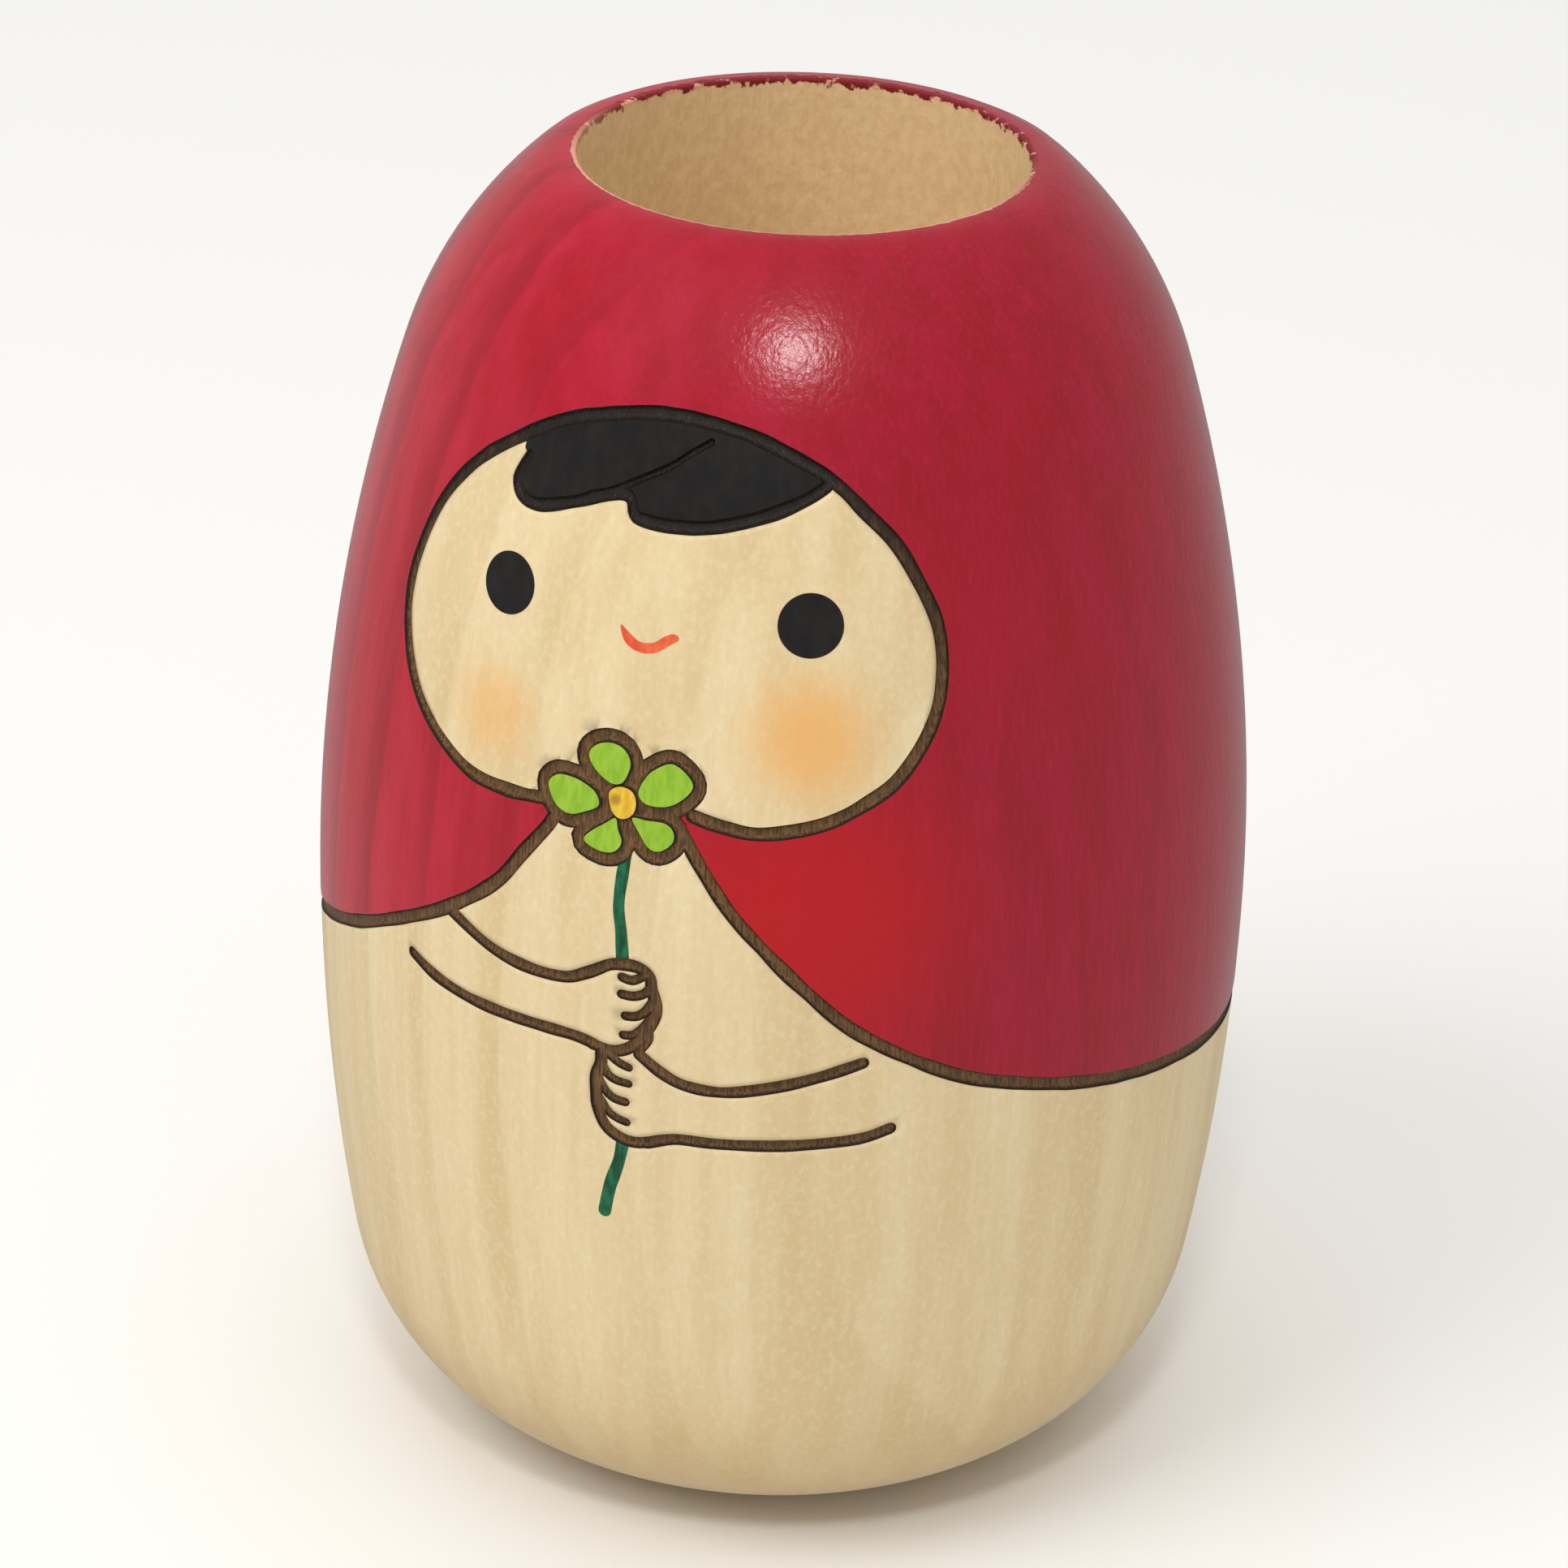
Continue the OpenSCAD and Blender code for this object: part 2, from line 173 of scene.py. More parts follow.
def leftOf(line, closed):
    if closed:
        d = np.roll(line, -1, 0) - np.roll(line, 1, 0)
    else:
        d = np.gradient(line, axis=0)
    d /= np.maximum(np.hypot(d[:, 0], d[:, 1]), 1e-9)[:, None]
    return np.column_stack([-d[:, 1], d[:, 0]])


def inside(points, polygon):
    # even-odd test of many points against one closed outline
    hit = np.zeros(len(points), bool)
    x, y = points[:, 0], points[:, 1]
    for (x1, y1), (x2, y2) in zip(polygon, np.roll(polygon, -1, 0)):
        if y1 == y2:
            continue
        crosses = ((y1 > y) != (y2 > y)) & (x < (x2 - x1) * (y - y1) / (y2 - y1) + x1)
        hit ^= crosses
    return hit


farOff = 9.0    # stands for a distance that doesn't matter


def distanceTo(points, line, closed=False, reach=1.3):
    # shortest distance to a line, and how far along its points that lies; beyond reach is far off
    if closed:
        line = np.vstack([line, line[0]])
    best = np.full(len(points), farOff)
    where = np.zeros(len(points))
    block = 16
    for start in range(0, len(line) - 1, block):
        part = line[start:start + block + 1]
        low, high = part.min(0) - reach, part.max(0) + reach
        near = np.nonzero(np.all((points > low) & (points < high), axis=1))[0]
        if not near.size:
            continue
        p = points[near][:, None, :]
        a, b = part[:-1][None], part[1:][None]
        along = ((p - a) * (b - a)).sum(2) / np.maximum(((b - a) ** 2).sum(2), 1e-12)
        along = np.clip(along, 0, 1)
        d = np.sqrt(((a + along[..., None] * (b - a) - p) ** 2).sum(2))
        k = d.argmin(1)
        rows = np.arange(near.size)
        closer = d[rows, k] < best[near]
        best[near[closer]] = d[rows, k][closer]
        where[near[closer]] = (start + k + along[rows, k])[closer]
    return best, where


# Front view: x to the right as the face is looked at, then height.

faceLine = {
    "points": [
        (3.6, 58.7), (5.5, 58.2), (8, 57.9), (11.5, 58.6), (13.9, 59.9), (15.7, 61.5), (17.1, 64.5),
        (17.4, 67.5), (16.8, 70.9), (15.2, 74.1), (13.8, 76.2), (12, 78), (10.4, 79.5), (8.5, 80.7),
        (4.5, 82.3), (0, 82.9), (-4, 82.4), (-8, 81.1), (-12, 78.6), (-14.3, 76.6), (-16.2, 74.2),
        (-17.6, 71.4), (-18.6, 68), (-18.6, 65), (-17.6, 62), (-15.7, 59.8), (-12.5, 58), (-9.5, 57.7),
        (-6.8, 57.9),
    ],
    "width": 0.98,
}
hemLine = {    # degrees round from the front, then height, from the right of the flower round to its left
    "points": [
        (5.4, 57.7), (7.3, 56), (9.6, 54.1), (12, 52.3), (15.5, 50.2), (20.5, 47.4), (27, 44.2), (38, 40.7),
        (47, 38.9), (60, 36.9), (75, 35.2), (90, 33.8), (110, 32.7), (140, 32.1), (180, 32), (225, 32.4),
        (255, 33.6), (275, 35.3), (290, 37.2), (300, 39), (315, 42.2), (329, 46.2), (336, 48.6), (342, 51.3),
        (345.5, 53.9), (348.5, 56.1), (349.4, 57),
    ],
    "width": 0.95,
}
armLines = {
    "width": 0.86,
    "arm_line_left_upper": [
        (-13.4, 48), (-10, 46.6), (-7, 46.1), (-4.4, 46.2), (-3, 46.8), (-1.8, 47.5),
    ],
    "arm_line_left_lower": [
        (-16.6, 43.4), (-14.6, 42.7), (-11.9, 42.3), (-9, 42.2), (-4, 42.2), (-2.2, 41.9),
    ],
    "arm_line_right_upper": [
        (0.9, 41.8), (2.4, 40.7), (4, 40), (6.5, 39.8), (9.7, 40.4), (12.4, 41.2), (14.8, 42.1),
    ],
    "arm_line_right_lower": [
        (1.5, 35.3), (3.4, 35.9), (6, 35.9), (9.7, 36), (12.4, 36.2), (14.9, 36.5), (16.5, 37.1),
    ],
}
handLines = {
    "width": 0.84,
    "finger": 0.62,    # the short lines between the fingers
    "hand_line_upper": [
        [(-2, 47.4), (-1, 47.9), (0.5, 48), (1.4, 47.5), (1.6, 46.6), (1.9, 45.5), (1.8, 44.5), (1.2, 43.3),
         (0.3, 42.2), (-0.9, 41.7), (-2.4, 41.9)],
        [(1.5, 43.8), (1.5, 43), (1, 42.2)],
        [(-0.4, 47.1), (0.3, 47), (1, 47.4)],
        [(-0.4, 45.9), (0.4, 45.9), (1.1, 46.2), (1.6, 46.8)],
        [(-0.1, 44.4), (0.6, 44.5), (1.2, 44.9), (1.7, 45.7)],
        [(-0.2, 43), (0.4, 43.1), (1, 43.6), (1.6, 44.5)],
    ],
    "hand_line_lower": [
        [(-1.7, 41.4), (-1.7, 40.6), (-2, 39.6), (-2, 38.4), (-1.9, 37.3), (-1.3, 36), (-0.2, 35.3),
         (0.8, 35.2), (1.7, 35.4)],
        [(0.2, 40.7), (-0.4, 40.9), (-1.2, 41.4)],
        [(0.2, 39.5), (-0.6, 39.6), (-1.2, 39.9), (-1.6, 40.6)],
        [(0, 38.1), (-0.7, 38.2), (-1.3, 38.6), (-1.8, 39.4)],
        [(0.1, 36.6), (-0.6, 36.8), (-1.2, 37.2), (-1.7, 38)],
    ],
}
flower = {
    "band": 0.95,          # burnt width round each petal
    "eyeBand": 0.3,        # and round the yellow middle
    "petals": [
        [(-3.5, 61.6), (-3, 62.3), (-2, 62.6), (-1.1, 62.3), (-0.65, 61.5), (-0.9, 60.5), (-1.3, 60.05),
         (-2, 60.05), (-3, 60.7)],
        [(0, 59.7), (0.5, 60.9), (1.3, 61.6), (2.1, 61.9), (3, 61.4), (3.5, 60.6), (2.9, 59.7), (1.9, 59.1),
         (0.6, 59.05)],
        [(-6.2, 59), (-5.7, 59.7), (-4.9, 59.85), (-3.9, 59.7), (-2.9, 59.2), (-2.6, 58.4), (-3.5, 57.8),
         (-4.6, 57.4), (-5.6, 57.8)],
        [(-1.4, 57.8), (-1.2, 57.1), (-0.9, 56.3), (-1.3, 55.6), (-2.1, 55.4), (-3, 55.6), (-3.5, 56),
         (-2.9, 56.7), (-2.1, 57.3)],
        [(-0.3, 58), (0.6, 58), (1.8, 58), (2.4, 57.6), (2.5, 56.9), (2, 56.3), (1.4, 56.05), (0.8, 56.3),
         (0.3, 57)],
    ],
    "middle": [(-1.9, 59.5), (-1.2, 59.9), (-0.4, 59.7), (-0.1, 59), (-0.3, 58.2), (-1, 57.8), (-1.6, 58.1),
               (-1.9, 58.8)],
}
fringe = {
    "width": 0.9,
    "partingWidth": 0.55,
    "edge": [
        (-10.1, 78.8), (-10.6, 77.9), (-10.9, 77), (-10.6, 76.1), (-9.9, 75.6), (-9, 75.5), (-8, 75.7),
        (-6, 76.4), (-4, 77.2), (-2.7, 77.5), (-2.4, 76.8), (-1.9, 76.3), (-0.5, 76.1), (1, 76.1), (3, 76.3),
        (5, 76.8), (7, 77.5), (8.8, 78.4), (9.9, 79.2),
    ],
    "parting": [(-5.2, 77.4), (-3.4, 78.1), (-1.8, 79), (0, 80), (1.2, 80.9), (2.4, 81.7)],
}
eyes = {"eye_left": (-10.3, 70.7, 2.02), "eye_right": (9.7, 71.2, 2.07)}    # x, height, radius
cheeks = {    # x, height, radius, how strong the dye is
    "cheek_left": (-10.6, 62.6, 5.6, 0.55),
    "cheek_right": (10.4, 64.2, 7.2, 0.8),
}
smile = [(-2.1, 70.1), (-1.5, 69.7), (-0.7, 69.25), (0.2, 69.35), (0.9, 69.85), (1.5, 70.05), (1.8, 69.75),
         (1.2, 69.3), (0.5, 68.8), (-0.3, 68.6), (-1.1, 68.7), (-1.8, 69.2)]
stems = {
    "stem_upper": ([(-0.5, 55.8), (-0.7, 54.2), (-0.85, 52), (-0.6, 50.2), (-0.4, 48)], 0.84),
    "stem_lower": ([(-0.1, 35.2), (-0.4, 33.5), (-1, 31.5), (-1.4, 29.4)], 0.86),
}

carving = {
    "depth": 0.36,
    "levels": (1.0, 0.86, 0.62, 0.33),   # mesh lines across half a burnt line
    "wobble": 0.07,                      # how much a hand-held tip varies the width
}


def burntStroke(name, line, width, step):
    pts = evenly(line, step)
    vary = [noise.noise(Vector((p[0] * 0.5, p[1] * 0.5, 3.7))) for p in pts]
    half = width / 2 * (1 + carving["wobble"] * np.array(vary) * 2)
    return {"name": name, "line": pts, "half": half}


def drawStrokes():
    out = [burntStroke("face_line", fromFront(smooth(faceLine["points"])), faceLine["width"], 0.3)]
    hem = smooth(fromTurn(hemLine["points"]))
    for turnBack in (0, -2 * halfTurn):
        shifted = hem + np.array([turnBack, 0])
        out.append(burntStroke("hem_line", shifted, hemLine["width"], 0.4))
    for name in [k for k in armLines if k != "width"]:
        out.append(burntStroke(name, fromFront(smooth(armLines[name])), armLines["width"], 0.3))
    for name in ("hand_line_upper", "hand_line_lower"):
        for i, points in enumerate(handLines[name]):
            width = handLines["width"] if i == 0 else handLines["finger"]
            out.append(burntStroke(name, fromFront(smooth(points)), width, 0.2))
    edge = fromFront(smooth(fringe["edge"]))
    inset = edge + leftOf(edge, False) * (fringe["width"] / 2)
    out.append(burntStroke("hair_line", inset, fringe["width"], 0.25))
    out.append(burntStroke("hair_line", fromFront(smooth(fringe["parting"])), fringe["partingWidth"], 0.25))
    return out


strokes = drawStrokes()
petalLoops = [evenly(fromFront(smooth(p, True)), 0.22, True) for p in flower["petals"]]
middleLoop = evenly(fromFront(smooth(flower["middle"], True)), 0.22, True)
print("drawing:", len(strokes), "burnt strokes")


def flowerField(p):
    # distance outside the nearest petal, distance outside the middle, and what is land
    outside = np.full(len(p), farOff)
    land = inside(p, middleLoop)
    for loop in petalLoops:
        outside = np.minimum(outside, distanceTo(p, loop, True)[0])
        land |= inside(p, loop)
    return outside, distanceTo(p, middleLoop, True)[0], land


def carve(p):
    # how deep each point lies, and how far across a burnt line it is, 0 in the middle and 1 at its edge
    across = np.full(len(p), farOff)
    for s in strokes:
        d, where = distanceTo(p, s["line"])
        across = np.minimum(across, d / np.interp(where, np.arange(len(s["half"])), s["half"]))
    outside, fromMiddle, land = flowerField(p)
    band = (outside < flower["band"]) | (fromMiddle < flower["eyeBand"])
    toEdge = np.minimum(np.minimum(outside, fromMiddle), np.maximum(flower["band"] - outside, 0.02))
    inFlower = band & ~land
    flowerAcross = np.clip(1 - toEdge / (flower["band"] / 2), 0, 1)
    across = np.where(inFlower, np.minimum(across, flowerAcross), across)
    across = np.where(land, farOff, across)
    depth = carving["depth"] * np.clip(1 - np.clip(across, 0, 1) ** 3, 0, 1)
    return depth, across, inFlower, land


surface = {
    "ringPoints": 200,     # points round the foot and round the mouth of the well
    "fill": 1.25,          # spacing of plain surface points
    "chip": 0.4,           # how far the torn edge of the red strays
    "seamRows": 90,        # plain points up the back seam
    "halo": ((0.35, 1), (0.8, 2)),    # distance outside a burnt line, and every how many points
    "clear": 0.3,          # plain points keep this far from drawn ones
    "merge": 0.006,        # points closer than this become one
    "flowerLevels": (0, 0.14, 0.32, 0.475, 0.64, 0.81, 0.95),    # mesh lines outside each petal
}


def strokeLoops(s):
    # closed loops across a burnt line at each level
    line, half = s["line"], s["half"]
    n = leftOf(line, False)
    loops = []
    for level in carving["levels"]:
        w = (half * level)[:, None]
        left, right = line + n * w, line - n * w
        caps = []
        for end, sign in ((-1, 1), (0, -1)):
            ahead = sign * np.array([n[end][1], -n[end][0]])
            turns = np.radians([60, 30, 0, -30, -60])
            sideways = n[end] * sign
            bow = [sideways * math.sin(t) + ahead * math.cos(t) for t in turns]
            caps.append(line[end] + w[end] * np.array(bow))
        loops.append((np.vstack([left, caps[0], right[::-1], caps[1]]), True))
    loops.append((line, False))
    return loops


def onSeam(line):
    # ends that meet the back seam sit exactly on it, at heights both sides share
    near = np.abs(np.abs(line[:, 0]) - halfTurn) < 1e-4
    line[near, 0] = np.sign(line[near, 0]) * halfTurn
    line[near, 1] = np.round(line[near, 1], 2)
    return line


def clipped(points, closed):
    # cuts a line where it crosses the back seam, keeping a point exactly on the seam
    if closed:
        points = np.vstack([points, points[0]])
    runs, run = [], []
    for a, b in zip(points[:-1], points[1:]):
        crossed = [e for e in (-halfTurn, halfTurn) if (a[0] - e) * (b[0] - e) < 0]
        cuts = sorted((e - a[0]) / (b[0] - a[0]) for e in crossed)
        stops = [a] + [a + t * (b - a) for t in cuts] + [b]
        for c, d in zip(stops[:-1], stops[1:]):
            if abs((c[0] + d[0]) / 2) <= halfTurn:
                run = run or [c]
                run.append(d)
            elif run:
                runs.append(np.array(run))
                run = []
    if run:
        runs.append(np.array(run))
    return [onSeam(r) for r in runs]


def ellipseAt(x, z, radius, count):
    centre = fromFront([(x, z)])[0]
    t = np.linspace(0, 2 * math.pi, count, endpoint=False)
    stretch = bodyR / radiusAt(centre[1])
    return centre + np.column_stack([np.cos(t) * radius * stretch, np.sin(t) * radius])


def chippedRim():
    # torn edge of the red coat round the mouth of the well
    u = np.linspace(-halfTurn, halfTurn, 4 * surface["ringPoints"] + 1)
    turn = u / bodyR
    tear = np.array([noise.noise(Vector((math.sin(t) * 22, math.cos(t) * 22, 1.3))) for t in turn])
    coarse = np.array([noise.noise(Vector((math.sin(t) * 5, math.cos(t) * 5, 8.1))) for t in turn])
    back = 0.5 - 0.5 * np.cos(turn)
    stray = surface["chip"] * (np.abs(tear) * (0.25 + back) + 0.3 * coarse * back)
    stray[-1] = stray[0]
    return onSeam(np.column_stack([u, profileEnd - 0.05 - np.clip(stray, 0, 0.5)]))


eyeLoops = {n: ellipseAt(*eyes[n], 56) for n in eyes}
cheekLoops = {n: ellipseAt(*cheeks[n][:3], 48) for n in cheeks}
smileLoop = evenly(fromFront(smooth(smile, True)), 0.16, True)
rimEdge = chippedRim()
stemStrokes = {n: burntStroke(n, fromFront(smooth(stems[n][0])), stems[n][1], 0.3) for n in stems}


def buildSurface():
    lines = []
    for s in strokes:
        for loop, closed in strokeLoops(s):
            lines += clipped(loop, closed)
    for loop in petalLoops + [middleLoop]:
        away = leftOf(loop, True)
        if inside(loop[:1] + away[:1] * 0.05, loop)[0]:
            away = -away
        for grow in surface["flowerLevels"]:
            if grow > flower["eyeBand"] and loop is middleLoop:
                continue
            lines += clipped(loop + away * grow, True)
    for s in stemStrokes.values():
        lines += clipped(strokeLoops(s)[0][0], True)
    for loop in list(eyeLoops.values()) + list(cheekLoops.values()) + [smileLoop]:
        lines += clipped(loop, True)
    lines.append(rimEdge)

    points, edges = [], []

    def add(line):
        first = len(points)
        points.extend(map(tuple, line))
        edges.extend((first + i, first + i + 1) for i in range(len(line) - 1))

    seamV = {0.0, profileEnd}
    for line in lines:
        seamV.update(line[np.abs(line[:, 0]) == halfTurn, 1])
    marks = sorted(seamV)
    for v in np.linspace(0, profileEnd, surface["seamRows"])[1:-1]:
        if min(abs(v - m) for m in marks) > 0.4:
            seamV.add(v)
    seam = np.array(sorted(seamV))
    ringU = np.linspace(-halfTurn, halfTurn, surface["ringPoints"] + 1)
    add(np.column_stack([ringU, np.zeros(ringU.size)]))
    add(np.column_stack([ringU, np.full(ringU.size, profileEnd)]))
    add(np.column_stack([np.full(seam.size, -halfTurn), seam]))
    add(np.column_stack([np.full(seam.size, halfTurn), seam]))
    for line in lines:
        add(line)

    taken = kdtree.KDTree(len(points))
    for i, p in enumerate(points):
        taken.insert((p[0], p[1], 0), i)
    taken.balance()
    step = surface["fill"]
    spare = []
    for row, v in enumerate(np.arange(step * 0.6, profileEnd - step * 0.4, step * 0.87)):
        for u in np.arange(-halfTurn + step * (0.5 + 0.5 * (row % 2)), halfTurn - step * 0.4, step):
            spare.append((u, v))
    halo = []
    for s in strokes:
        n = leftOf(s["line"], False)
        for grow, stride in surface["halo"]:
            for side in (-1, 1):
                edge = s["line"] + n * ((s["half"] + grow) * side)[:, None]
                halo += [tuple(p) for p in edge[::stride]]
    for u, v in halo + spare:
        if abs(u) > halfTurn - 0.3 or not 0.3 < v < profileEnd - 0.2:
            continue
        if taken.find((u, v, 0))[2] > surface["clear"]:
            points.append((u, v))
    points = [Vector(p) for p in points]
    made = delaunay_2d_cdt(points, edges, [], 0, surface["merge"])
    uv = np.array([tuple(p) for p in made[0]])
    tris = np.array([tuple(f) for f in made[2]])
    return uv, tris


uv, tris = buildSurface()
print("surface:", len(uv), "points,", len(tris), "triangles")


def weldSeam(uv, tris):
    left = np.nonzero(uv[:, 0] < -halfTurn + 1e-4)[0]
    right = np.nonzero(uv[:, 0] > halfTurn - 1e-4)[0]
    left = left[np.argsort(uv[left, 1])]
    right = right[np.argsort(uv[right, 1])]
    if len(left) != len(right) or np.abs(uv[left, 1] - uv[right, 1]).max() > 0.02:
        raise RuntimeError("the back seam's two sides don't match")
    target = np.arange(len(uv))
    target[left] = right
    tris = target[tris]
    used, compact = np.unique(tris, return_inverse=True)
    return used, compact.reshape(-1, 3)


used, welded = weldSeam(uv, tris)
centres = uv[tris].mean(1)    # taken before the weld, so that none straddles the seam
uv, tris = uv[used], welded
depth, across = carve(uv)[:2]


def surfaceNormals():
    outward, sideways, up = surfaceFrame(uv)
    normals = outward.copy()
    near = np.nonzero(across < 1.5)[0]
    probe = 0.03    # slopes are measured over twice this
    p = uv[near]
    rise = carve(p + [probe, 0])[0] - carve(p - [probe, 0])[0]
    slopeU = rise / (2 * probe) * bodyR / radiusAt(p[:, 1])
    slopeV = (carve(p + [0, probe])[0] - carve(p - [0, probe])[0]) / (2 * probe)
    tilted = outward[near] + sideways[near] * slopeU[:, None] + up[near] * slopeV[:, None]
    normals[near] = tilted / np.linalg.norm(tilted, axis=1)[:, None]
    return normals


normals = surfaceNormals()
print("carved:", int((across < 1).sum()), "points lie in burnt lines")

faceStroke = strokes[0]
facePolygon = faceStroke["line"]
fringeEdge = fromFront(smooth(fringe["edge"]))
fringeTop = fromFront([(12, 85), (0, 88), (-12, 85)])
fringePolygon = np.vstack([fringeEdge, fringeTop])


def hoodPolygon():
    right, left = strokes[1]["line"], strokes[2]["line"]
    right = right[right[:, 0] <= halfTurn]
    left = left[left[:, 0] >= -halfTurn]
    out = halfTurn + 1
    top = profileEnd + 1
    corners = [(out, right[-1][1]), (out, top), (-out, top), (-out, left[0][1])]
    return np.vstack([right, corners, left])


def sortCoats():
    p = centres
    names = np.full(len(p), "", dtype=object)
    acrossHere, inFlower, land = carve(p)[1:]
    nearest = np.full(len(p), farOff)
    owner = np.full(len(p), "", dtype=object)
    for s in strokes:
        d, where = distanceTo(p, s["line"])
        t = d / np.interp(where, np.arange(len(s["half"])), s["half"])
        closer = t < nearest
        nearest[closer] = t[closer]
        owner[closer] = s["name"]
    burnt = (acrossHere < 1) & ~land
    inFace = inside(p, facePolygon)
    onFaceLine = (owner == "face_line") & (nearest < 1)
    black = inside(p, fringePolygon) & (inFace | onFaceLine)
    inHood = inside(p, hoodPolygon()) & ~inFace
    inHood &= p[:, 1] < np.interp(p[:, 0], rimEdge[:, 0], rimEdge[:, 1])
    names[inHood] = "hood_coat"
    for loops in (cheekLoops, eyeLoops):
        for n, loop in loops.items():
            names[inside(p, loop) & inFace] = n
    names[inside(p, smileLoop)] = "mouth"
    for n, s in stemStrokes.items():
        d, where = distanceTo(p, s["line"])
        names[d / np.interp(where, np.arange(len(s["half"])), s["half"]) < 1] = n
    names[black] = "hair_coat"
    names[burnt & ~inFlower] = owner[burnt & ~inFlower]
    names[burnt & black] = "hair_line"
    names[inFlower] = "flower_line"
    for i, loop in enumerate(petalLoops):
        names[inside(p, loop)] = f"petal_{i + 1}"
    names[inside(p, middleLoop)] = "flower_centre"
    return names


coats = sortCoats()
print("coats:", {n: int((coats == n).sum()) for n in sorted(set(coats))})


def meshObject(name, points, faces, pointNormals, acrossHere=None):
    mesh = bpy.data.meshes.new(name)
    mesh.from_pydata([tuple(p) for p in points], [], [tuple(int(i) for i in f) for f in faces])
    mesh.validate()
    if acrossHere is not None:
        layer = mesh.attributes.new("across", "FLOAT", "POINT")
        layer.data.foreach_set("value", np.asarray(acrossHere, np.float32))
    mesh.polygons.foreach_set("use_smooth", [True] * len(mesh.polygons))
    mesh.normals_split_custom_set_from_vertices([tuple(n) for n in pointNormals])
    obj = bpy.data.objects.new(name, mesh)
    bpy.context.scene.collection.objects.link(obj)
    return obj


well = {
    "depth": 78.0,
    "floorRings": (12.5, 9.5, 6.5, 4.0),
    "corner": 0.5,          # round between wall and floor
    "rows": 46,             # rings down the wall
    "score": 0.03,          # drill marks on the wall
    "markR": 2.0,           # centre mark of the drill
    "baseRings": (13.6, 11.0, 8.0, 5.0, 2.2),
}


def buildBody():
    floorZ = bodyH - well["depth"]
    points = list(onSurface(uv, -depth))
    norms = list(normals)
    faces = [tuple(t) for t in tris]

    def ringAt(v):
        ring = np.nonzero(np.abs(uv[:, 1] - v) < 1e-4)[0]
        return list(ring[np.argsort(uv[ring, 0])])

    def addRing(template, r, z, angle, rough=0.0):
        ring = []
        for i in template:
            turn = uv[i, 0] / bodyR
            stray = rough * noise.noise(Vector((math.sin(turn) * 9, math.cos(turn) * 9, z * 1.7)))
            radius = r + stray
            ring.append(len(points))
            points.append(np.array([radius * math.sin(turn), -radius * math.cos(turn), z]) * mm)
            norms.append(np.array([math.cos(angle) * math.sin(turn), -math.cos(angle) * math.cos(turn),
                                   math.sin(angle)]))
        return ring

    def bridge(a, b, down):
        n = len(a)
        for i in range(n):
            j = (i + 1) % n
            quad = (a[i], a[j], b[j], b[i])
            faces.append(quad[::-1] if down else quad)

    def close(ring, z, down):
        centre = len(points)
        points.append(np.array([0, 0, z]) * mm)
        norms.append(np.array([0, 0, -1.0 if down else 1.0]))
        for i in range(len(ring)):
            tri = (ring[i], ring[(i + 1) % len(ring)], centre)
            faces.append(tri[::-1] if down else tri)

    mouth = ringAt(profileEnd)
    arris = turning["arris"]
    rows = []    # radius, height, which way the wall faces, and how deeply it is scored
    for t in (30, 60, 90):
        a = math.radians(90 + t)
        rows.append((wellR + arris * (1 + math.cos(a)), bodyH - arris * (1 - math.sin(a)), a, 0))
    top, bottom = bodyH - arris, floorZ + well["corner"]
    for z in np.linspace(top, bottom, well["rows"])[1:]:
        rows.append((wellR, z, math.pi, well["score"] if z > bottom else 0))
    for t in (30, 60, 90):
        b = math.radians(-t)
        rows.append((wellR - well["corner"] * (1 - math.cos(b)), bottom + well["corner"] * math.sin(b),
                     math.radians(180 - t), 0))
    for r in (*well["floorRings"], well["markR"]):
        rows.append((r, floorZ, math.pi / 2, 0))
    current = mouth
    for r, z, a, rough in rows:
        ring = addRing(mouth, r, z, a, rough)
        bridge(current, ring, False)
        current = ring
    close(current, floorZ - well["markR"] / 2, False)

    foot = ringAt(0.0)
    current = foot
    for r in well["baseRings"]:
        ring = addRing(foot, r, 0.0, -math.pi / 2)
        bridge(current, ring, True)
        current = ring
    close(current, 0.0, True)
    return meshObject("turned_block", points, faces, norms)


coatEdge = {
    "sink": 0.05,     # underside this deep in the wood
    "thin": 0.3,      # share of the lift that is left at the rim
    "brink": 0.97,    # from here out it counts as the edge of a burnt line
}


def buildCoat(name, chosen, lift):
    # a closed skin on part of the turned surface: its top stands proud, its underside lies in the wood
    faces = tris[chosen]
    ids, local = np.unique(faces, return_inverse=True)
    local = local.reshape(-1, 3)
    n = len(ids)
    sides = {}
    for a, b, c in local:
        for i, j in ((a, b), (b, c), (c, a)):
            sides[(i, j)] = True
    rim = [(i, j) for (i, j) in sides if (j, i) not in sides]
    onRim = np.zeros(n, bool)
    onRim[[i for e in rim for i in e]] = True
    liftHere = np.where(onRim, lift * coatEdge["thin"], lift)
    top = onSurface(uv[ids], liftHere - depth[ids])
    under = onSurface(uv[ids], -coatEdge["sink"] - depth[ids])
    allFaces = [tuple(t) for t in local]
    allFaces += [(int(c) + n, int(b) + n, int(a) + n) for a, b, c in local]
    allFaces += [(j, i, i + n, j + n) for i, j in rim]
    shading = normals[ids].copy()
    if not name.split("_skin")[0].endswith(("line", "upper", "lower")):
        brink = onRim & (across[ids] > coatEdge["brink"])
        shading[brink] = surfaceFrame(uv[ids])[0][brink]    # ends flat at a burnt line, with no bright lip
    acrossBoth = np.concatenate([np.clip(across[ids], 0, 1)] * 2)
    return meshObject(name, np.vstack([top, under]), allFaces, np.vstack([shading, -shading]),
                      acrossBoth)


